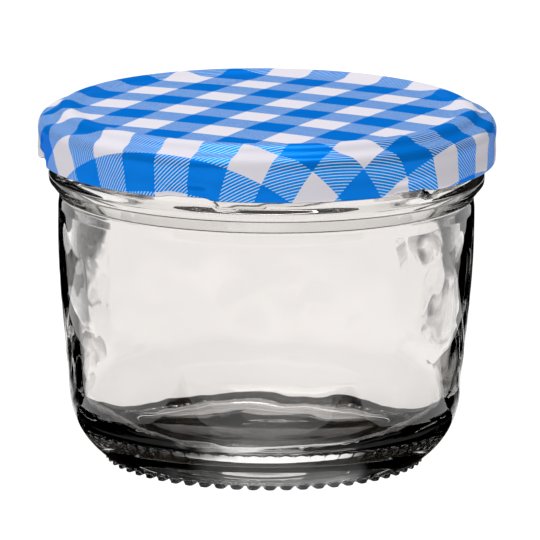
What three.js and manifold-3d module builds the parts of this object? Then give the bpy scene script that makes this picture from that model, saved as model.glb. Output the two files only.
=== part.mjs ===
// A low, wide preserving jar of clear glass, closed by a printed twist-off lid.
// Millimetres, +Z up. The origin is on the jar's axis, on the surface the jar stands on.
// The front, where the photograph was taken from, is -Y.

import * as THREE from 'three';
import { mergeVertices } from 'three/addons/utils/BufferGeometryUtils.js';
import Module from 'manifold-3d';

const wasm = await Module();
wasm.setup();

// Driving dimensions
const STEPS = 60;                // flats round the glass and the lid

const BEARING_Z = 0.8;           // underside of the glass between the knurls
const BEARING_INNER_R = 26.4;
const BEARING_OUTER_R = 29.8;
const PUSH_UP_Z = 2.9;           // hollow under the base, at the axis
const HEEL_ARC_R = 15.2;         // outer radius of the rounded heel
const HEEL_ARC_CENTRE = { r: 21.65, z: 13.5 };
const SHOULDER_R = 39.07;        // widest place of the body, just below the neck
const SHOULDER_Z = 45.2;
const NECK_R = 38.75;
const NECK_Z = 50.5;
const BEAD_R = 40.9;             // the ring that the jar is carried by while it is made
const BEAD_BOTTOM_Z = 53.0;
const BEAD_TOP_Z = 55.9;
const FINISH_R = 39.6;           // the glass wall inside the lid
const RIM_Z = 66.0;
const RIM_CENTRE_R = 37.9;
const BORE_R = 36.3;             // the mouth
const WALL = 2.3;
const FLOOR_Z = 6.3;             // inside of the base, at the axis
const FLOOR_EDGE_Z = 5.3;
const FLOOR_EDGE_R = 24.0;
const INNER_HEEL_ARC_R = 9.5;

const KNURLS = 60;               // bumps that the jar stands on
const KNURL_PHASE = 2.3;         // degrees, from the front
const KNURL_R = 28.7;
const KNURL_HALF = { along: 1.1, out: 1.75 };

const STARTS = 6;                // threads on the glass, and lugs on the lid
const THREAD_R = 41.05;
const THREAD_HALF = 1.0;
const THREAD_START = -13;        // degrees, from the front, at the low end
const THREAD_SPAN = 54;
const THREAD_START_Z = 56.5;
const THREAD_RISE = 4.1;

const SHEET = 0.25;              // tinplate of the lid
const LID_R = 42.97;
const LID_BOTTOM_Z = 56.85;
const PANEL_Z = 66.7;            // middle of the lid, on top
const PANEL_SAG = 0.42;          // how much lower the panel's edge is
const PANEL_R = 34.3;
const CROWN_Z = 66.98;           // raised ring round the panel
const CROWN_R = 37.4;
const STEP_Z = 65.45;            // where the crown's fall ends and the gentler shoulder starts
const STEP_R = 40.2;
const KNEE_Z = 64.3;             // where the shoulder turns into the skirt
const CURL_R = 0.66;             // rolled edge at the foot of the skirt
const LUG_AZIMUTH = -25;         // degrees, from the front, of the first lug
const LUG_HALF_WIDTH = 8;        // degrees
const LUG_DEPTH = 1.35;          // how far a lug is pressed inwards
const LUG_BLEND_Z = 60.2;        // above this the skirt is untouched

const rad = THREE.MathUtils.degToRad;

// A point of a half outline: radius, height
const at = (r, z) => new THREE.Vector2(r, z);

// Points along an arc of a half outline, its angles in degrees from straight out
function arc(centre, radius, from, to, steps) {
  const points = [];
  for (let i = 0; i <= steps; i++) {
    const angle = rad(from + ((to - from) * i) / steps);
    points.push(at(centre.r + radius * Math.cos(angle), centre.z + radius * Math.sin(angle)));
  }
  return points;
}

// A closed body of revolution about Z
function turned(outline) {
  return new THREE.LatheGeometry(outline, STEPS).rotateX(Math.PI / 2);
}

// Into the boolean library, without the slivers that a turned shape has at its poles, and out
function solid(geometry) {
  const bare = geometry.clone();
  bare.deleteAttribute('normal');
  bare.deleteAttribute('uv');
  const merged = mergeVertices(bare, 1e-4);
  const index = merged.index.array;
  const triangles = [];
  for (let i = 0; i < index.length; i += 3) {
    const [a, b, c] = [index[i], index[i + 1], index[i + 2]];
    if (a !== b && b !== c && c !== a) triangles.push(a, b, c);
  }
  return new wasm.Manifold(new wasm.Mesh({
    numProp: 3,
    vertProperties: new Float32Array(merged.attributes.position.array),
    triVerts: new Uint32Array(triangles),
  }));
}

function geometryOf(manifold) {
  const mesh = manifold.getMesh();
  const geometry = new THREE.BufferGeometry();
  geometry.setAttribute('position', new THREE.BufferAttribute(mesh.vertProperties, 3));
  geometry.setIndex(new THREE.BufferAttribute(mesh.triVerts, 1));
  geometry.computeVertexNormals();
  return geometry;
}

// Moves every vertex of a geometry by a rule
function reshape(geometry, rule) {
  const position = geometry.attributes.position;
  const point = new THREE.Vector3();
  for (let i = 0; i < position.count; i++) {
    point.fromBufferAttribute(position, i);
    rule(point);
    position.setXYZ(i, point.x, point.y, point.z);
  }
  return geometry;
}

// Turns an azimuth in degrees from the front into an angle about Z
const fromFront = (degrees) => rad(degrees - 90);

// Outer radius of the body between heel and shoulder: a slight barrel, widest at the shoulder
function bodyRadius(z) {
  const heelTop = HEEL_ARC_CENTRE.r + HEEL_ARC_R;
  const t = (z - HEEL_ARC_CENTRE.z) / (SHOULDER_Z - HEEL_ARC_CENTRE.z);
  return heelTop + (SHOULDER_R - heelTop) * Math.sin((t * Math.PI) / 2) ** 1.15;
}

// The glass

function glassOutline() {
  const bodyHeights = [22, 30, 38, SHOULDER_Z];
  const heel = arc(HEEL_ARC_CENTRE, HEEL_ARC_R, -56.5, -4, 6);
  const innerHeelCentre = { r: bodyRadius(15) - WALL - INNER_HEEL_ARC_R, z: 15 };
  const innerHeel = arc(innerHeelCentre, INNER_HEEL_ARC_R, -4, -74, 4);
  return [
    at(0, PUSH_UP_Z),
    at(15, PUSH_UP_Z - 0.3),
    at(23, BEARING_Z + 0.9),
    at(BEARING_INNER_R, BEARING_Z),
    at(BEARING_OUTER_R - 0.6, BEARING_Z - 0.1),
    ...heel,
    ...bodyHeights.map((z) => at(bodyRadius(z), z)),
    at(SHOULDER_R - 0.12, SHOULDER_Z + 3),
    at(NECK_R, NECK_Z),
    at(BEAD_R - 0.3, BEAD_BOTTOM_Z - 0.25),
    at(BEAD_R - 0.05, BEAD_BOTTOM_Z + 0.2),
    at(BEAD_R, BEAD_TOP_Z - 1),
    at(BEAD_R - 0.35, BEAD_TOP_Z - 0.25),
    at(FINISH_R, BEAD_TOP_Z + 0.3),
    at(FINISH_R, RIM_Z - 2.4),
    at(FINISH_R - 0.3, RIM_Z - 1.0),
    at(RIM_CENTRE_R + 0.7, RIM_Z - 0.25),
    at(RIM_CENTRE_R - 0.3, RIM_Z),
    at(BORE_R + 0.5, RIM_Z - 0.4),
    at(BORE_R, RIM_Z - 1.4),
    at(BORE_R, BEAD_TOP_Z),
    at(SHOULDER_R - WALL, NECK_Z - 2),
    at(SHOULDER_R - WALL, SHOULDER_Z),
    at(bodyRadius(34) - WALL, 34),
    at(bodyRadius(24) - WALL, 24),
    ...innerHeel,
    at(FLOOR_EDGE_R, FLOOR_EDGE_Z),
    at(12, FLOOR_Z - 0.2),
    at(0, FLOOR_Z),
  ];
}

// One bump of the bearing ring: a rounded half-moon whose lowest point is at z = 0
function knurl(azimuth) {
  const bump = new THREE.SphereGeometry(1, 6, 4).rotateX(Math.PI / 2);
  const height = 2 * BEARING_Z;
  bump.scale(KNURL_HALF.out, KNURL_HALF.along, height);
  bump.translate(KNURL_R, 0, height);
  return bump.rotateZ(fromFront(azimuth));
}

// One thread: a bar with round ends, bent round the finish and climbing to the right
function thread(azimuth) {
  const middleR = THREAD_R - THREAD_HALF;
  const length = rad(THREAD_SPAN) * middleR - 2 * THREAD_HALF;
  const bar = new THREE.CapsuleGeometry(THREAD_HALF, length, 2, 8, 8).rotateZ(-Math.PI / 2);
  return reshape(bar, (p) => {
    const along = p.x / middleR / rad(THREAD_SPAN) + 0.5;
    const angle = fromFront(azimuth + along * THREAD_SPAN);
    const r = middleR + p.z;
    p.set(r * Math.cos(angle), r * Math.sin(angle), THREAD_START_Z + THREAD_RISE * along + p.y);
  });
}

function glassGeometry() {
  let glass = solid(turned(glassOutline()));
  for (let i = 0; i < KNURLS; i++) {
    glass = glass.add(solid(knurl(KNURL_PHASE + (360 / KNURLS) * i)));
  }
  for (let i = 0; i < STARTS; i++) {
    glass = glass.add(solid(thread(THREAD_START + (360 / STARTS) * i)));
  }
  return geometryOf(glass);
}

// The lid

// The printed face: from the axis out over the panel, crown, shoulder and skirt
function lidFace() {
  const edgeZ = PANEL_Z - PANEL_SAG;
  return [
    at(0, PANEL_Z),
    at(PANEL_R * 0.7, PANEL_Z - PANEL_SAG * 0.3),
    at(PANEL_R, edgeZ),
    at(PANEL_R + 0.9, edgeZ + 0.12),
    at(CROWN_R - 1.4, CROWN_Z - 0.3),
    at(CROWN_R - 0.6, CROWN_Z - 0.05),
    at(CROWN_R, CROWN_Z),
    at(CROWN_R + 0.8, CROWN_Z - 0.13),
    at(CROWN_R + 1.5, CROWN_Z - 0.48),
    at(STEP_R - 0.6, STEP_Z + 0.4),
    at(STEP_R, STEP_Z),
    at(LID_R - 0.75, KNEE_Z + 0.5),
    at(LID_R - 0.37, KNEE_Z),
    at(LID_R, KNEE_Z - 1.2),
    at(LID_R - 0.12, KNEE_Z - 3.3),
    at(LID_R - 0.05, KNEE_Z - 5.4),
  ];
}

// The other face of a sheet: every point of a line moved to the right of its course
function otherFace(line, thickness) {
  return line.map((point, i) => {
    const before = line[Math.max(i - 1, 0)];
    const after = line[Math.min(i + 1, line.length - 1)];
    const course = after.clone().sub(before).normalize();
    const r = i === 0 ? 0 : point.x + course.y * thickness;
    return at(r, point.y - course.x * thickness);
  });
}

// The face, round the curl and back along the inside. It runs from the top down, so it is
// reversed to run anticlockwise as the glass does.
function lidOutline() {
  const curl = { r: LID_R - 0.1 - CURL_R, z: LID_BOTTOM_Z + CURL_R };
  const face = lidFace();
  return [
    ...face,
    ...arc(curl, CURL_R, 0, -180, 5),
    at(curl.r - CURL_R * 0.75, curl.z + CURL_R * 0.85),
    ...otherFace(face, SHEET).reverse(),
  ].reverse();
}

// How strongly the lugs press at an angle about Z, from 0 between them to 1 in their middle
function lugPressure(angle) {
  const pitch = 360 / STARTS;
  const turn = THREE.MathUtils.radToDeg(angle) + 90 - LUG_AZIMUTH;
  const off = Math.abs(turn - pitch * Math.round(turn / pitch));
  return off < LUG_HALF_WIDTH ? Math.cos((off / LUG_HALF_WIDTH) * (Math.PI / 2)) ** 2 : 0;
}

function lidGeometry() {
  const lid = turned(lidOutline());
  reshape(lid, (p) => {
    const r = Math.hypot(p.x, p.y);
    if (p.z > LUG_BLEND_Z || r < CROWN_R) return;
    const low = Math.min(1, (LUG_BLEND_Z - p.z) / (LUG_BLEND_Z - LID_BOTTOM_Z - 2 * CURL_R));
    const pressed = r - LUG_DEPTH * lugPressure(Math.atan2(p.y, p.x)) * low * low;
    p.x *= pressed / r;
    p.y *= pressed / r;
  });
  return geometryOf(solid(lid));
}

// Materials and the scene graph

const clearGlass = new THREE.MeshStandardMaterial({
  color: 0xe6ebe8,
  roughness: 0.03,
  metalness: 0,
  transparent: true,
  opacity: 0.35,
});
const blueEnamel = new THREE.MeshStandardMaterial({
  color: 0x1272ce,
  roughness: 0.25,
  metalness: 0,
});

function named(name, geometry, material) {
  const mesh = new THREE.Mesh(geometry, material);
  mesh.name = name;
  return mesh;
}

const jar = new THREE.Group();
jar.add(named('glass_jar', glassGeometry(), clearGlass));
jar.add(named('lid', lidGeometry(), blueEnamel));

export default jar;
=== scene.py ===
# %% [markdown]
# # A preserving jar with a gingham lid
# The jar comes as a measured frame of two plain solids, the glass and the lid. This lesson dresses
# them: the glass gets its smooth, slightly wavy walls, the knurled ring that it stands on and its
# threads, and the lid gets its pressed tinplate form and its printed pattern. All lengths are in
# metres, the jar stands on z = 0, and its front is towards -Y.

# %% Load the frame
import math

import bpy
import numpy as np
from mathutils import Matrix, Vector


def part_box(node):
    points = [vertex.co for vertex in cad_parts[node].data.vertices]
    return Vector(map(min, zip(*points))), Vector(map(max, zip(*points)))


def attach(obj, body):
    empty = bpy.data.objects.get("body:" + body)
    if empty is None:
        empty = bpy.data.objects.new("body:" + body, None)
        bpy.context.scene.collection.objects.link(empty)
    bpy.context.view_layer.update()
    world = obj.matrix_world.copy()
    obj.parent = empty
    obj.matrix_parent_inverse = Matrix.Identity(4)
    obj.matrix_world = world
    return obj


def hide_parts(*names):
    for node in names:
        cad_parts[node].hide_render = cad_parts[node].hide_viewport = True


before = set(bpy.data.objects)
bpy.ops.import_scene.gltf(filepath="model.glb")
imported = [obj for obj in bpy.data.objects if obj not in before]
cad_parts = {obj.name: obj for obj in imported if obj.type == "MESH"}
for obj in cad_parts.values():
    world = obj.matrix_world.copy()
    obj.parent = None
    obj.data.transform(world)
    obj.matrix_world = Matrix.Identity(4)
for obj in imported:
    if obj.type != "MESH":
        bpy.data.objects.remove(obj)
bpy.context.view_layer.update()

MM = 0.001
_, glass_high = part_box("glass_jar")
lid_low, lid_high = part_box("lid")
LID_R = (lid_high.x - lid_low.x) / 2 / MM
TOP_Z = lid_high.z / MM
print("lid radius", round(LID_R, 2), "mm, whole height", round(TOP_Z, 2), "mm")

# %% [markdown]
# ## The camera
# The outlines in the photograph fit a long lens 1.6 m away, looking down on the jar by about twelve
# degrees, with the camera turned half a degree about its own line of sight. A long lens keeps the
# ellipses of lid and base almost alike, which is what the photograph shows. The camera comes first,
# because every later choice is judged through it.

# %% Set up the camera
CAMERA_PLACE = Vector((0.0, -1.600, 0.3744))
CAMERA_PITCH = math.radians(11.96)
CAMERA_ROLL = math.radians(0.51)
CAMERA_TURN = math.radians(-0.028)
CAMERA_LENS = 580.3
CAMERA_REACH = 20

camera_data = bpy.data.cameras.new("camera")
camera_data.lens = CAMERA_LENS
camera_data.clip_end = CAMERA_REACH
camera = bpy.data.objects.new("camera", camera_data)
bpy.context.scene.collection.objects.link(camera)
looking = Matrix.Rotation(math.pi / 2 - CAMERA_PITCH, 4, "X")
rolled = looking @ Matrix.Rotation(CAMERA_ROLL, 4, "Z")
turned_aside = Matrix.Rotation(CAMERA_TURN, 4, "Z") @ rolled
camera.matrix_world = Matrix.Translation(CAMERA_PLACE) @ turned_aside
bpy.context.scene.camera = camera
print("camera at", tuple(round(v, 3) for v in CAMERA_PLACE), "lens", CAMERA_LENS)

# %% [markdown]
# ## Turning an outline
# Both pieces are round, so both start as half an outline that is turned about the axis. The outline
# is drawn the way it is drawn by hand: one point is extruded along the shape. Corners are given as
# a radius, a height and how much to round them, and the Screw modifier turns the line into a skin.

# %% Helpers for outlines
def rounded(corners, steps=5):
    """Points of an outline whose corners (r, z, rounding) are replaced by arcs, all in mm."""
    points = []
    for i, (r, z, rounding) in enumerate(corners):
        corner = np.array([r, z], float)
        if rounding == 0 or i in (0, len(corners) - 1):
            points.append(corner)
            continue
        before = np.array(corners[i - 1][:2]) - corner
        after = np.array(corners[i + 1][:2]) - corner
        before, after = before / np.linalg.norm(before), after / np.linalg.norm(after)
        half = math.acos(np.clip(before @ after, -1, 1)) / 2
        reach = rounding / math.tan(half)
        centre = corner + (before + after) / np.linalg.norm(before + after) * rounding / math.sin(half)
        start, end = corner + before * reach - centre, corner + after * reach - centre
        turn = math.atan2(start[0] * end[1] - start[1] * end[0], start @ end)
        for k in range(steps + 1):
            c, s = math.cos(turn * k / steps), math.sin(turn * k / steps)
            points.append(centre + (start[0] * c - start[1] * s, start[0] * s + start[1] * c))
    return points


def spread(points, gap):
    """The same outline with its long stretches cut into steps of about gap, in mm."""
    out = [np.array(points[0], float)]
    for point in points[1:]:
        start = out[-1]
        count = max(1, round(float(np.linalg.norm(np.array(point) - start)) / gap))
        out += [start + (np.array(point) - start) * (k + 1) / count for k in range(count)]
    return out


def arc(centre_r, centre_z, radius, start, end, steps):
    """Points on an arc, with its angles in degrees from straight out."""
    angles = [math.radians(start + (end - start) * k / steps) for k in range(steps + 1)]
    return [(centre_r + radius * math.cos(a), centre_z + radius * math.sin(a)) for a in angles]


def deselect_all():
    bpy.ops.object.select_all(action="DESELECT")


def turned(name, outline, steps):
    """Draws an outline by extruding one point, and turns it about Z."""
    deselect_all()
    bpy.ops.mesh.primitive_plane_add(size=MM)
    piece = bpy.context.object
    piece.name = piece.data.name = name
    bpy.ops.object.mode_set(mode="EDIT")
    bpy.ops.mesh.merge(type="CENTER")
    line = [Vector((r * MM, 0, z * MM)) for r, z in outline]
    bpy.ops.transform.translate(value=line[0])
    for here, there in zip(line, line[1:]):
        bpy.ops.mesh.extrude_region_move(TRANSFORM_OT_translate={"value": there - here})
    bpy.ops.object.mode_set(mode="OBJECT")
    bpy.ops.object.modifier_add(type="SCREW")
    screw = piece.modifiers[-1]
    screw.steps = screw.render_steps = steps
    screw.use_merge_vertices = True
    screw.merge_threshold = 1e-6
    bpy.ops.object.modifier_apply(modifier=screw.name)
    bpy.ops.object.mode_set(mode="EDIT")
    bpy.ops.mesh.select_all(action="SELECT")
    bpy.ops.mesh.remove_doubles(threshold=1e-6)
    bpy.ops.mesh.dissolve_degenerate(threshold=1e-7)
    bpy.ops.mesh.normals_make_consistent(inside=False)
    bpy.ops.mesh.select_all(action="DESELECT")
    bpy.ops.object.mode_set(mode="OBJECT")
    bpy.ops.object.shade_smooth()
    print(name, "turned:", len(piece.data.vertices), "points,", len(piece.data.polygons), "faces")
    return piece


def places(piece):
    """Where every point of a piece is, in mm: x, y, z, distance from the axis, azimuth from front."""
    flat = np.empty(len(piece.data.vertices) * 3)
    piece.data.vertices.foreach_get("co", flat)
    x, y, z = flat.reshape(-1, 3).T / MM
    return x, y, z, np.hypot(x, y), np.degrees(np.arctan2(x, -y))


def select_points(piece, chosen):
    """Leaves edit mode open with just these points selected."""
    bpy.ops.object.mode_set(mode="OBJECT")
    piece.data.vertices.foreach_set("select", chosen)
    bpy.ops.object.mode_set(mode="EDIT")


# %% [markdown]
# ## The glass
# The real jar is pressed and blown in a mould. Outside it follows the mould exactly, inside the glass
# flows freely, so the outer skin is drawn with clean arcs and the inner one is made uneven later. The
# outline runs from under the base, round the heel, up the wall, over the rim and down inside. Its
# steps are finest from the neck to the rim, where the threads will be raised.

# %% Draw the outline of the glass
BEARING_Z = 0.8
HEEL_R, HEEL_CENTRE_R, HEEL_CENTRE_Z = 15.2, 21.65, 13.5
SHOULDER_R, SHOULDER_Z = 39.07, 45.2
NECK_R, NECK_Z = 38.75, 50.4
BEAD_R, BEAD_LOW_Z, BEAD_TOP_Z = 40.9, 53.0, 55.9
FINISH_R, BORE_R = 39.6, 36.3
RIM_OUTER_R, RIM_MIDDLE_R = 38.6, 37.6
RIM_Z = glass_high.z / MM
WALL = 2.3
INNER_HEEL_R, INNER_HEEL_Z = 9.5, 15.0


def body_radius(z):
    """The slight barrel of the wall, between heel and shoulder."""
    foot = HEEL_CENTRE_R + HEEL_R
    t = (z - HEEL_CENTRE_Z) / (SHOULDER_Z - HEEL_CENTRE_Z)
    return foot + (SHOULDER_R - foot) * math.sin(t * math.pi / 2) ** 1.15


under = rounded([(0, 2.9, 0), (12, 2.75, 30), (22.8, 2.1, 6), (26.2, BEARING_Z + 0.05, 1.2),
                 (29.0, BEARING_Z, 0.5), (30.04, 0.83, 0)])
heel = arc(HEEL_CENTRE_R, HEEL_CENTRE_Z, HEEL_R, -56.5, -4, 16)
wall = [(body_radius(z), z) for z in np.linspace(14.5, SHOULDER_Z, 16)]
neck = rounded([
    (SHOULDER_R, SHOULDER_Z, 0), (SHOULDER_R - 0.02, 48.2, 4), (NECK_R + 0.05, NECK_Z + 0.1, 0.7),
    (BEAD_R - 0.1, BEAD_LOW_Z, 0.7), (BEAD_R + 0.02, BEAD_LOW_Z + 1.3, 0.4),
    (FINISH_R + 0.02, BEAD_TOP_Z - 0.7, 0.1), (FINISH_R, BEAD_TOP_Z - 0.3, 0.1),
    (FINISH_R, RIM_Z - 1.2, 1.0), (RIM_OUTER_R, RIM_Z, 1.1), (RIM_MIDDLE_R, RIM_Z, 0)], 4)
throat = rounded([
    (RIM_MIDDLE_R, RIM_Z, 0), (BORE_R + 0.35, RIM_Z, 0.9), (BORE_R, RIM_Z - 1.6, 1.5),
    (BORE_R, 56.5, 20), (SHOULDER_R - WALL, NECK_Z - 1, 12), (SHOULDER_R - WALL, SHOULDER_Z, 0)], 4)
inner_wall_z = np.linspace(SHOULDER_Z - 1.5, INNER_HEEL_Z + 1, 18)
inner_wall = [(body_radius(z) - WALL, z) for z in inner_wall_z]
inner_heel_r = body_radius(INNER_HEEL_Z) - WALL - INNER_HEEL_R
inner_heel = arc(inner_heel_r, INNER_HEEL_Z, INNER_HEEL_R, -2, -76, 14)
floor_inside = rounded([inner_heel[-1] + (0,), (24.0, 5.35, 6), (12.0, 6.0, 40), (0, 6.3, 0)])
outline = spread(under, 2.0) + heel[1:] + wall + spread(neck, 0.4)[1:] + spread(throat, 2.0)[1:]
outline += inner_wall + inner_heel + spread(floor_inside, 1.6)[1:]
outline[0][0] = outline[-1][0] = 0.0
print("outline of the glass:", len(outline), "points")

# %% [markdown]
# ## From outline to glass
# The outline is turned in 420 steps, seven for each of the knurls that follow, so that all of them
# come out alike. More steps would take the glass past 200,000 triangles.

# %% Turn the glass
GLASS_STEPS = 420
glass = turned("jar_glass", outline, GLASS_STEPS)

# %% [markdown]
# ## The knurled ring
# The jar stands on sixty little half-moon bumps, which keep the hot base off the belt while it cools.
# They could be joined on as separate bodies, but that leaves hard seams that refract badly, so the
# points along sixty short lines are pulled down with proportional editing, and each pull takes its
# neighbours along in a round bump.

# %% Pull the knurls down
KNURLS = 60
KNURL_PHASE = 2.3
KNURL_LINE = (28.1, 29.5)
KNURL_REACH = 1.1

x, y, z, r, azimuth = places(glass)
pitch = 360 / KNURLS
step = 360 / GLASS_STEPS
off_line = np.abs((azimuth - KNURL_PHASE + pitch / 2) % pitch - pitch / 2)
on_line = (off_line <= step) & (r > KNURL_LINE[0]) & (r < KNURL_LINE[1]) & (z < BEARING_Z + 0.3)
select_points(glass, on_line)
bpy.ops.transform.translate(value=(0, 0, -BEARING_Z * MM), use_proportional_edit=True,
                            proportional_edit_falloff="SPHERE",
                            proportional_size=KNURL_REACH * MM)
bpy.ops.object.mode_set(mode="OBJECT")
print("knurls pulled from", int(on_line.sum()), "points, lowest", round(places(glass)[2].min(), 3), "mm")

# %% [markdown]
# ## The threads
# Six short threads climb to the right round the finish, and the lid's lugs hook under them. They are
# raised like the knurls: the points nearest each thread's line are scaled away from the axis, and the
# falloff rounds the ridge. A thread crosses the rows of points in small steps, so the finish is
# smoothed afterwards.

# %% Raise the threads
STARTS = 6
THREAD_START, THREAD_SPAN = -13.0, 54.0
THREAD_START_Z, THREAD_RISE, THREAD_CURVE = 56.1, 4.5, 1.4
THREAD_R = 41.05
THREAD_REACH = 1.1
HALF_ROW = 0.22
SMOOTH_BELOW_Z = RIM_Z - 4

x, y, z, r, azimuth = places(glass)
along = ((azimuth - THREAD_START) % (360 / STARTS)) / THREAD_SPAN
off_thread = np.abs(z - (THREAD_START_Z + THREAD_RISE * np.clip(along, 0, 1) ** THREAD_CURVE))
on_finish = (r > FINISH_R - 0.3) & (z > BEAD_TOP_Z - 0.2)
on_thread = (off_thread < HALF_ROW) & on_finish & (along > 0.01) & (along < 0.99)
select_points(glass, on_thread)
bpy.ops.transform.resize(value=(THREAD_R / FINISH_R, THREAD_R / FINISH_R, 1),
                         center_override=(0, 0, 0), use_proportional_edit=True,
                         proportional_edit_falloff="SPHERE",
                         proportional_size=THREAD_REACH * MM)
select_points(glass, on_finish & (z < SMOOTH_BELOW_Z))
bpy.ops.mesh.vertices_smooth(factor=0.5, repeat=3)
bpy.ops.object.mode_set(mode="OBJECT")
print("threads raised from", int(on_thread.sum()), "points")

# %% [markdown]
# ## The uneven inside
# Blown glass is never even inside. Long soft swells in the inner wall bend the light, and they make
# the dark edges of a real jar ragged. Two Displace modifiers with soft cloud patterns do this, a
# broad one and a fine one, held to the inner skin by a vertex group. The glass is also kept out of
# shadows and diffuse light, because a render without caustics draws its shadow much too dark.

# %% Make the inner wall uneven
SWELLS = ((0.5, 15.0), (0.12, 5.0))
MID_WALL_Z, MID_WALL_R = (5.0, 9.0, 15.0, 45.0, 66.4), (0, 33.2, 35.4, 37.8, 38.0)
SWELLS_END_Z, SWELLS_FADE = 51, 8

x, y, z, r, azimuth = places(glass)
inside_wall = (r < np.interp(z, MID_WALL_Z, MID_WALL_R)) & (z > 4.5) & (z < RIM_Z - 2)
weight = np.where(inside_wall, np.clip((SWELLS_END_Z - z) / SWELLS_FADE, 0, 1), 0)
swells = glass.vertex_groups.new(name="swells")
for level in np.unique(np.round(weight, 2)):
    if level > 0:
        members = np.flatnonzero(np.round(weight, 2) == level)
        swells.add(members.tolist(), float(level), "REPLACE")
deselect_all()
glass.select_set(True)
bpy.context.view_layer.objects.active = glass
for amount, size in SWELLS:
    clouds = bpy.data.textures.new("swells", "CLOUDS")
    clouds.noise_scale = size * MM
    clouds.noise_depth = 1
    bpy.ops.object.modifier_add(type="DISPLACE")
    swell = glass.modifiers[-1]
    swell.texture = clouds
    swell.texture_coords = "LOCAL"
    swell.strength = amount * MM
    swell.mid_level = 0.5
    swell.vertex_group = "swells"
    bpy.ops.object.modifier_apply(modifier=swell.name)
glass.visible_shadow = glass.visible_diffuse = False
print("swells on", int((weight > 0).sum()), "points")

# %% [markdown]
# ## The lid
# The lid is pressed from one disc of printed tinplate: a slightly domed panel, a raised crown over
# the rim, a sloping shoulder, an upright skirt and a rolled edge. Its outline is a thin closed loop,
# so turning it gives both faces of the sheet at once.

# %% Draw the outline of the lid
SHEET = 0.25
PANEL_Z, PANEL_SAG, PANEL_R = 66.7, 0.42, 34.3
CROWN_R = 37.4
STEP_R, STEP_Z = 40.2, 65.45
KNEE_Z = 64.3
LID_LOW_Z = lid_low.z / MM
CURL_R = 0.66


def flowing(points, gap):
    """A smooth curve through the points, in steps of about gap, in mm."""
    pins = [np.array(p, float) for p in (points[0], *points, points[-1])]
    curve = [pins[1]]
    for before, start, end, after in zip(pins, pins[1:], pins[2:], pins[3:]):
        count = max(1, round(float(np.linalg.norm(end - start)) / gap))
        for k in range(1, count + 1):
            t = k / count
            leave, arrive = (end - before) / 2, (after - start) / 2
            curve.append(start * (2 * t ** 3 - 3 * t ** 2 + 1) + leave * (t ** 3 - 2 * t ** 2 + t)
                         + end * (3 * t ** 2 - 2 * t ** 3) + arrive * (t ** 3 - t ** 2))
    return curve


def other_face(line, thickness):
    """The line moved to its right by the sheet's thickness, listed backwards."""
    moved = []
    for i, point in enumerate(line):
        course = line[min(i + 1, len(line) - 1)] - line[max(i - 1, 0)]
        course = course / np.linalg.norm(course)
        moved.append(point + thickness * np.array([course[1], -course[0]]))
    moved[0][0] = 0
    return moved[::-1]


edge_z = PANEL_Z - PANEL_SAG
panel = [(0, PANEL_Z), (18, PANEL_Z - 0.03), (24, PANEL_Z - 0.13), (29, PANEL_Z - 0.28),
         (32, edge_z + 0.04), (PANEL_R - 0.4, edge_z)]
crown = [(PANEL_R + 0.5, edge_z + 0.05), (CROWN_R - 2.1, TOP_Z - 0.53),
         (CROWN_R - 1.4, TOP_Z - 0.28), (CROWN_R - 0.6, TOP_Z - 0.05), (CROWN_R, TOP_Z),
         (CROWN_R + 0.8, TOP_Z - 0.12), (CROWN_R + 1.5, TOP_Z - 0.46),
         (STEP_R - 0.6, STEP_Z + 0.4), (STEP_R, STEP_Z)]
skirt = [(STEP_R + 1.0, STEP_Z - 0.26), (LID_R - 0.9, KNEE_Z + 0.6), (LID_R - 0.37, KNEE_Z),
         (LID_R - 0.12, KNEE_Z - 0.6), (LID_R - 0.01, KNEE_Z - 1.3), (LID_R - 0.12, KNEE_Z - 3.3),
         (LID_R - 0.04, KNEE_Z - 5.2), (LID_R - 0.1, LID_LOW_Z + CURL_R + 0.2)]
face = flowing(panel, 2.0) + flowing(crown, 0.3) + flowing(skirt, 0.45)
curl = arc(LID_R - 0.1 - CURL_R, LID_LOW_Z + CURL_R, CURL_R, 0, -215, 14)
outer_line = face + [np.array(p) for p in curl[1:]]
lid_line = outer_line + other_face(face, SHEET)
print("outline of the lid:", len(lid_line), "points")

# %% [markdown]
# ## From outline to lid
# The lid is turned in steps of one degree, which is fine enough for the dents of its lugs.

# %% Turn the lid
LID_STEPS = 360
lid = turned("lid_tinplate", lid_line, LID_STEPS)

# %% [markdown]
# ## Where the print lies
# The pattern is printed on the flat sheet before the lid is pressed, so it bends over the shoulder
# with the sheet. To get that, every point of the printed face is given the place that it had on the
# flat disc: its way along the outline, from the middle of the lid, becomes the distance there. The
# print stops a little way round the rolled edge.

# %% Lay the flat disc out as the lid's map
# The last points round the curl stay unprinted, so the underside of the rolled edge takes the dark
# painted shade, a shadow line along the lid's foot.
SHADED_CURL_POINTS = 11

line = np.array([tuple(p) for p in outer_line])
steps = np.linalg.norm(np.diff(line, axis=0), axis=1)
blank_r = np.concatenate([[0], np.cumsum(steps)])
BLANK_R = float(blank_r[-1])

x, y, z, r, azimuth = places(lid)
to_line = (r[:, None] - line[None, :, 0]) ** 2 + (z[:, None] - line[None, :, 1]) ** 2
nearest = to_line.argmin(1)
printed = to_line.min(1) < 1e-4
flat_r = blank_r[nearest] / np.maximum(r, 1e-6)
on_disc = np.stack([x * flat_r, y * flat_r], 1) / (2 * BLANK_R) + 0.5
lid.data.uv_layers.new(name="flat_disc")
corners = np.empty(len(lid.data.loops), dtype=np.int32)
lid.data.loops.foreach_get("vertex_index", corners)
lid.data.uv_layers["flat_disc"].data.foreach_set("uv", on_disc[corners].ravel())
mark = lid.data.attributes.new("printed", "FLOAT", "POINT")
# The curl's underside is left unprinted, to carry the painted shade.
printed &= nearest < len(line) - SHADED_CURL_POINTS
mark.data.foreach_set("value", printed.astype(float))
print("flat disc", round(2 * BLANK_R, 1), "mm across,", int(printed.sum()), "printed points")

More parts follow.
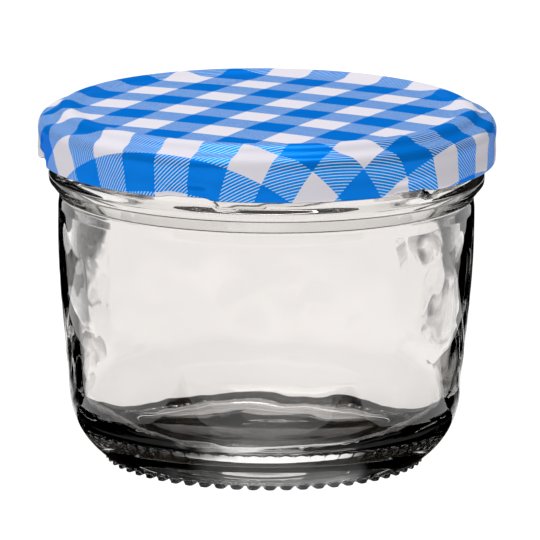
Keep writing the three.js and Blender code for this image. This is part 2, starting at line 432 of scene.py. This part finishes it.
# %% [markdown]
# ## The lugs
# Six lugs in the rolled edge catch the threads. A press pushes the curl inwards and a little up
# there, which leaves shallow dents in the skirt. The curl's points at each lug are scaled towards the
# axis and then lifted, with proportional editing again.

# %% Press the lugs in
LUG_AZIMUTH = -20.5
LUG_HALF = 4.6
LUG_DEPTH, DEPTH_REACH = 0.95, 2.0
LUG_LIFT, LIFT_REACH = 0.3, 2.4

x, y, z, r, azimuth = places(lid)
off_lug = np.abs((azimuth - LUG_AZIMUTH + 30) % 60 - 30)
at_lug = (off_lug < LUG_HALF) & (z < LID_LOW_Z + 2 * CURL_R)
select_points(lid, at_lug)
bpy.ops.transform.resize(value=(1 - LUG_DEPTH / LID_R, 1 - LUG_DEPTH / LID_R, 1),
                         center_override=(0, 0, 0), use_proportional_edit=True,
                         proportional_edit_falloff="SMOOTH",
                         proportional_size=DEPTH_REACH * MM)
bpy.ops.transform.translate(value=(0, 0, LUG_LIFT * MM), use_proportional_edit=True,
                            proportional_edit_falloff="SMOOTH",
                            proportional_size=LIFT_REACH * MM)
bpy.ops.mesh.select_all(action="DESELECT")
bpy.ops.object.mode_set(mode="OBJECT")
print("lugs pressed from", int(at_lug.sum()), "points")

# %% [markdown]
# ## Writing materials as sums
# A material is a small sum over the surface. One class wraps a socket and lets it be added,
# multiplied and compared, and another makes any node from its type, settings and sockets.

# %% Wrap sockets and nodes
class Wire:
    """A value in a material, which adds Math nodes when it is calculated with."""

    def __init__(self, finish, socket):
        self.finish, self.socket = finish, socket

    def math(self, operation, a, b=0.0):
        return self.finish.node("ShaderNodeMath", {"operation": operation}, {0: a, 1: b}).out(0)

    def __add__(self, other):
        return self.math("ADD", self, other)

    def __mul__(self, other):
        return self.math("MULTIPLY", self, other)

    def __sub__(self, other):
        return self.math("SUBTRACT", self, other)

    def __rsub__(self, other):
        return self.math("SUBTRACT", other, self)

    def __gt__(self, other):
        return self.math("GREATER_THAN", self, other)

    def fract(self):
        return self.math("FRACT", self)

    __radd__ = __add__
    __rmul__ = __mul__


class Node:
    def __init__(self, finish, node):
        self.finish, self.node = finish, node

    def out(self, key):
        return Wire(self.finish, self.node.outputs[key])


class Finish:
    """A material that is built up node by node."""

    def __init__(self, name):
        self.material = bpy.data.materials.new(name)
        self.material.use_nodes = True
        self.tree = self.material.node_tree
        self.tree.nodes.clear()

    def node(self, kind, settings=None, sockets=None):
        made = self.tree.nodes.new(kind)
        for key, value in (settings or {}).items():
            setattr(made, key, value)
        for key, value in (sockets or {}).items():
            if isinstance(value, Wire):
                self.tree.links.new(value.socket, made.inputs[key])
            else:
                made.inputs[key].default_value = value
        return Node(self, made)

    def mix(self, factor, first, second):
        """A colour between two colours."""
        return self.node("ShaderNodeMix", {"data_type": "RGBA"},
                         {"Factor": factor, 6: first, 7: second}).out(2)

    def noise(self, place, scale, detail):
        return self.node("ShaderNodeTexNoise", {},
                         {"Vector": place, "Scale": scale, "Detail": detail}).out("Fac")

    def ramp(self, value, low, high):
        """0 below low, 1 above high, smooth between."""
        return self.node("ShaderNodeMapRange", {"interpolation_type": "SMOOTHSTEP"},
                         {"Value": value, "From Min": low, "From Max": high}).out("Result")

    def shade(self, sockets):
        surface = self.node("ShaderNodeBsdfPrincipled", {}, sockets)
        self.node("ShaderNodeOutputMaterial", {}, {"Surface": surface.out(0)})
        return self.material


def paint(piece, material):
    piece.data.materials.clear()
    piece.data.materials.append(material)


# %% [markdown]
# ## Clear glass
# The glass is clear soda glass. The shader only needs its refraction and a trace of warm grey, since
# the form does the rest. Two fine things break the perfection: faint ripples in the surface, and the
# scuffed ring where the jar slides on shelves.

# %% Make the glass
GLASS_TINT = (0.865, 0.845, 0.83, 1)
GLASS_IOR = 1.5
SCUFFED_BELOW = (0.0002, 0.0009)

clear = Finish("clear_glass")
place = clear.node("ShaderNodeTexCoord").out("Object")
height = clear.node("ShaderNodeSeparateXYZ", {}, {0: place}).out("Z")
scuffs = (1 - clear.ramp(height, *SCUFFED_BELOW)) * clear.noise(place, 900, 4)
ripple = clear.noise(place, 70, 0)
skin = clear.node("ShaderNodeBump", {}, {"Strength": 0.06, "Distance": 0.0006, "Height": ripple})
paint(glass, clear.shade({
    "Base Color": GLASS_TINT,
    "Roughness": 0.006 + scuffs * 0.35,
    "IOR": GLASS_IOR,
    "Transmission Weight": 1.0,
    "Normal": skin.out("Normal"),
}))
print("clear glass with a refractive index of", GLASS_IOR)

# %% [markdown]
# ## Gingham print
# Gingham is woven from white and blue threads in equal bands, and printed gingham copies it with
# three tones: white, solid blue where two blue bands cross, and fine slanting lines where one blue
# band crosses white. The bands are read from the flat disc, turned and shifted as in the photograph.
# The blue ink is a little metallic, because the tinplate shines through it. Inside, the lid has a pale
# lacquer. Lower down, the inside of the skirt and the underside of the rolled edge are painted dark:
# this is painted shade, for the little light that reaches there.

# %% Make the print
CHECK = 7.313
CHECK_TURN = math.radians(27.04)
CHECK_CORNER = (-23.64, -11.25)
LINES_PER_CHECK = 9
LINE_SHARE = 0.22
DEEP_BLUE, BRIGHT_BLUE = (0.0, 0.1974, 0.779, 1), (0.004, 0.2226, 0.82, 1)
LINE_BLUE = (0.0, 0.29, 0.86, 1)
WHITE = (0.80, 0.77, 0.84, 1)
LACQUER = (0.84, 0.83, 0.80, 1)
# Painted shade: below this height the unprinted sheet (the inside of the skirt and the curl's underside)
# is painted this dark colour.
PAINTED_EDGE_SHADE = (0.06, 0.05, 0.04, 1)
PAINTED_SHADE_BELOW = (0.0635, 0.0655)
INK_METAL = 0.3

gingham = Finish("gingham_print")
flat = gingham.node("ShaderNodeUVMap", {"uv_map": "flat_disc"}).out("UV")
across = gingham.node("ShaderNodeSeparateXYZ", {}, {0: flat})
disc_x = (across.out("X") - 0.5) * (2 * BLANK_R) - CHECK_CORNER[0]
disc_y = (across.out("Y") - 0.5) * (2 * BLANK_R) - CHECK_CORNER[1]
turn_cos, turn_sin = math.cos(CHECK_TURN) / CHECK, math.sin(CHECK_TURN) / CHECK
first_band = disc_x * turn_cos - disc_y * turn_sin
second_band = disc_x * -turn_sin - disc_y * turn_cos
first_blue = (first_band * 0.5).fract() > 0.5
second_blue = (second_band * 0.5).fract() > 0.5
slanting = ((first_band + second_band) * LINES_PER_CHECK).fract() > LINE_SHARE
both = first_blue * second_blue
one = first_blue + second_blue - both * 2
ink = both + one * slanting
object_place = gingham.node("ShaderNodeTexCoord").out("Object")
blue = gingham.mix(gingham.noise(object_place, 260, 3), DEEP_BLUE, BRIGHT_BLUE)
print_colour = gingham.mix(ink, WHITE, gingham.mix(both, LINE_BLUE, blue))
is_printed = gingham.node("ShaderNodeAttribute", {"attribute_name": "printed"}).out("Fac")
lid_height = gingham.node("ShaderNodeSeparateXYZ", {}, {0: object_place}).out("Z")
# Pale lacquer high inside the lid, and painted shade below it on the inside of the skirt and the curl.
inside = gingham.mix(gingham.ramp(lid_height, *PAINTED_SHADE_BELOW), PAINTED_EDGE_SHADE, LACQUER)
colour = gingham.mix(is_printed, inside, print_colour)
peel = gingham.noise(object_place, 700, 2)
varnish = gingham.node("ShaderNodeBump", {}, {"Strength": 0.05, "Distance": 0.0002, "Height": peel})
paint(lid, gingham.shade({
    "Base Color": colour,
    "Roughness": 0.3 + gingham.noise(object_place, 120, 4) * 0.08,
    "Metallic": ink * is_printed * INK_METAL,
    "Specular IOR Level": 0.0,
    "Specular Tint": (0.05, 0.35, 0.9, 1),
    "Coat Weight": 0.05,
    "Coat Roughness": 0.05,
    "Normal": varnish.out("Normal"),
}))
print("checks of", CHECK, "mm, turned by", round(math.degrees(CHECK_TURN), 2), "degrees")

# %% [markdown]
# ## Tie the pieces to the frame
# Each finished piece stands for one solid of the frame, and rides on its one body.

# %% Tie the pieces
for piece, node, slot in ((glass, "glass_jar", "clear_glass"), (lid, "lid", "printed_tinplate")):
    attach(piece, "root")
    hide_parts(node)
    print(piece.name, "stands for", node, "in", slot)

# %% [markdown]
# ## The floor
# Glass shows only what is round it. The photograph looks lit in the classic way for glass: a bright
# field all round, and black flags close by that draw the dark edges. Seen from slightly above, the
# wall looks down at the floor, so the floor itself glows here, in white with faint clouds. Lamps could
# light it instead, but a glowing floor keeps its tone out to the horizon.

# %% Lay the floor
BLACK = (0, 0, 0, 1)
MATT = {"Roughness": 0.9, "Specular IOR Level": 0.0}
FLOOR_SIDE, FLOOR_Z = 6, -0.0003
FLOOR_GLOW = 1.15


def card(name, size, place, turn, material):
    """A flat rectangle of the set, which is no part of the jar."""
    deselect_all()
    bpy.ops.mesh.primitive_plane_add(size=1, location=place, rotation=turn)
    made = bpy.context.object
    made.name = name
    made.scale = (size[0], size[1], 1)
    paint(made, material)
    return made


cloudy = Finish("set_white")
floor_place = cloudy.node("ShaderNodeTexCoord").out("Object")
patches = cloudy.ramp(cloudy.noise(floor_place, 70, 1), 0.3, 0.7)
white = cloudy.shade(MATT | {
    "Base Color": (0.05, 0.05, 0.05, 1),
    "Emission Color": cloudy.mix(patches, (0.88, 0.88, 0.88, 1), (1, 1, 1, 1)),
    "Emission Strength": FLOOR_GLOW,
})
card("floor", (FLOOR_SIDE, FLOOR_SIDE), (0, 0, FLOOR_Z), (0, 0, 0), white)
print("floor", FLOOR_SIDE, "m across")

# %% [markdown]
# ## The black flags
# Four black flags lie on the floor at each side of the jar. Three are cloth with a soft, ragged inner
# edge, because a straight edge shows in the glass as a ruled line, and the small one beside the heel
# is plain. The camera doesn't see them directly and they cast no shadow, so they only show through
# the glass.

# %% Lay the flags
FLAGS = (
    ("front", (0.05, 0.06), (0.030, -0.035, -0.0002), 0, True),
    ("near", (0.03, 0.025), (0.045, 0.0075, -0.0002), 0, False),
    ("middle", (0.05, 0.065), (0.069, 0.0525, -0.0002), 0, True),
    ("far", (0.12, 0.24), (0.100, 0.205, 0.0012), 4, True),
)
RAG_SCALE, RAG_DEPTH = 47, 0.06
EDGE_INSET, EDGE_SOFTNESS = 0.012, 0.02


def show_through_glass_only(piece):
    piece.visible_camera = piece.visible_diffuse = piece.visible_shadow = False


def velvet(name, side, size):
    """Black cloth whose inner edge is soft and ragged."""
    cloth = Finish(name)
    cloth_place = cloth.node("ShaderNodeTexCoord").out("Object")
    spot = cloth.node("ShaderNodeSeparateXYZ", {}, {0: cloth_place})
    across, along = spot.out("X") * size[0], spot.out("Y") * size[1]
    true_size = cloth.node("ShaderNodeCombineXYZ", {}, {0: across, 1: along}).out(0)
    ragged = across * -side + cloth.noise(true_size, RAG_SCALE, 3) * RAG_DEPTH
    soft_from = size[0] / 2 + EDGE_INSET
    return cloth.shade(MATT | {
        "Base Color": BLACK,
        "Alpha": 1 - cloth.ramp(ragged, soft_from, soft_from + EDGE_SOFTNESS),
    })


plain_black = Finish("set_black").shade(MATT | {"Base Color": BLACK})
for side, side_name in ((-1, "left"), (1, "right")):
    for part, size, (out_x, back_y, up_z), angle, soft in FLAGS:
        cloth = velvet(f"set_velvet_{part}_{side_name}", side, size) if soft else plain_black
        turn = (0, 0, side * math.radians(angle))
        flag = card(f"flag_{part}_{side_name}", size, (side * out_x, back_y, up_z), turn, cloth)
        show_through_glass_only(flag)
print("flags at each side:", len(FLAGS))

# %% [markdown]
# ## The dark discs
# Two very thin dark discs under the jar keep its base dark. One round disc as large as the base would
# make it a single flat black, so these are set a little back, which leaves a light streak in front.
# They are wider than deep, which carries the dark line on the bead further round.

# %% Lay the discs
DISCS = (("middle", 0.0285, 0.0035, 0.0001), ("back", 0.019, 0.018, 0.00006))
DISC_WIDER, DISC_Z = 1.3, -0.00005

# The discs glow faintly in warm cloudy patches: a painted light, which shows through the base as
# streaks.
disc_glow = Finish("set_dark_glow")
disc_glow_place = disc_glow.node("ShaderNodeTexCoord").out("Object")
glow_patches = disc_glow.ramp(disc_glow.noise(disc_glow_place, 90, 3), 0.5, 0.75)
dark_with_glow = disc_glow.shade(MATT | {
    "Base Color": BLACK,
    "Emission Color": disc_glow.mix(glow_patches, (0.004, 0.003, 0.002, 1), (0.05, 0.042, 0.028, 1)),
    "Emission Strength": 1.0,
})
for part, radius, behind, depth in DISCS:
    bpy.ops.mesh.primitive_cylinder_add(vertices=96, radius=radius, depth=depth,
                                        location=(0, behind, DISC_Z))
    disc = bpy.context.object
    disc.scale = (DISC_WIDER, 1, 1)
    disc.name = "black_disc_" + part
    paint(disc, dark_with_glow)
    show_through_glass_only(disc)
print("dark discs:", len(DISCS))

# %% [markdown]
# ## The light
# The floor lights the glass, and the lid needs light from above: one soft lamp over the front left,
# and a larger one overhead. A glowing card far behind adds a sheen to the lid. The view transform is
# Standard, so that white comes out white.

# %% Place the card and the lamps
CARD_GLOW = 0.6
SURROUND_GLOW = 0.02
LAMP_AIM = (0, 0, 0.06)


def softbox(name, place, side, power):
    data = bpy.data.lights.new(name, "AREA")
    data.shape = "RECTANGLE"
    data.size = data.size_y = side
    data.energy = power
    lamp = bpy.data.objects.new(name, data)
    bpy.context.scene.collection.objects.link(lamp)
    lamp.location = place
    facing = Vector(LAMP_AIM) - Vector(place)
    lamp.rotation_euler = facing.to_track_quat("-Z", "Y").to_euler()
    print(name, power, "W,", side, "m wide")


glowing = Finish("set_glow").shade(MATT | {
    "Base Color": BLACK, "Emission Color": (1, 1, 1, 1), "Emission Strength": CARD_GLOW,
})
card("back_card", (0.45, 0.22), (0, 1.2, 0.62), (math.radians(90), 0, 0), glowing)
softbox("key_light", (-0.25, -0.55, 0.95), 0.5, 5)
softbox("top_light", (-0.1, 0.2, 1.0), 0.7, 7.4)

world = bpy.data.worlds.new("world")
world.use_nodes = True
world.node_tree.nodes["Background"].inputs[0].default_value = (1, 1, 1, 1)
world.node_tree.nodes["Background"].inputs[1].default_value = SURROUND_GLOW
bpy.context.scene.world = world
bpy.context.scene.view_settings.view_transform = "Standard"
